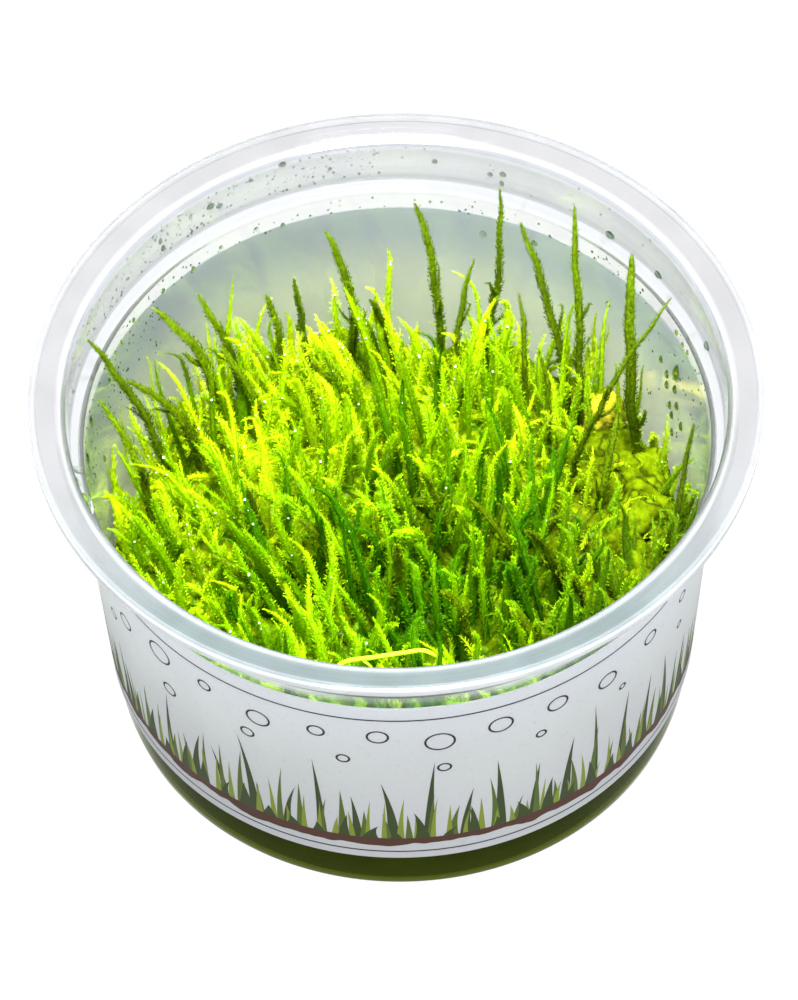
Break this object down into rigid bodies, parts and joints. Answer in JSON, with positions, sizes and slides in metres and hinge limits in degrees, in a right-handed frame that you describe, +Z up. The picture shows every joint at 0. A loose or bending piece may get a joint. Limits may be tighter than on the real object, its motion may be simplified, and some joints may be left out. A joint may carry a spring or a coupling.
{
  "type": "clump of aquarium moss in a clear tub",
  "caption": "Dense clump of upright aquarium moss shoots on set gel in a round open clear plastic tub with a flat rim and a wrapped label.",
  "frame": {"origin": "middle of the tub's flat base, on the surface that it stands on", "axes": "+Z up along the tub's axis, -Y towards the front of the label"},
  "size_m": [0.101, 0.101, 0.062],
  "materials": {
    "clear_plastic": "slightly milky clear moulded plastic, smooth, see-through",
    "label_film": "matte white printed film with a plain leaf pattern",
    "gel": "set clear gel, stained olive green by the moss in it",
    "dense_moss": "bright green leafy moss, wet, lets light through",
    "moss_shoot": "mid green leafy moss shoot, wet, lets light through",
    "young_moss": "pale yellow-green young shoot"
  },
  "bodies": {
    "root": {"tub": "clear_plastic", "label": "label_film", "culture_gel": "gel", "moss_mat": "dense_moss", "arched_shoot": "young_moss", "shoot_01": "moss_shoot", "shoot_02": "moss_shoot", "shoot_03": "moss_shoot", "shoot_04": "moss_shoot", "shoot_05": "moss_shoot", "shoot_06": "moss_shoot", "shoot_07": "moss_shoot", "shoot_08": "moss_shoot", "shoot_09": "moss_shoot", "shoot_10": "moss_shoot", "shoot_11": "moss_shoot", "shoot_12": "moss_shoot", "shoot_13": "moss_shoot", "shoot_14": "moss_shoot", "shoot_15": "moss_shoot", "shoot_16": "moss_shoot", "shoot_17": "moss_shoot", "shoot_18": "moss_shoot", "shoot_19": "moss_shoot", "shoot_20": "moss_shoot", "shoot_21": "moss_shoot", "shoot_22": "moss_shoot", "shoot_23": "moss_shoot", "shoot_24": "moss_shoot", "shoot_25": "moss_shoot", "shoot_26": "moss_shoot", "shoot_27": "moss_shoot", "shoot_28": "moss_shoot", "shoot_29": "moss_shoot", "shoot_30": "moss_shoot", "shoot_31": "moss_shoot"}
  },
  "joints": []
}
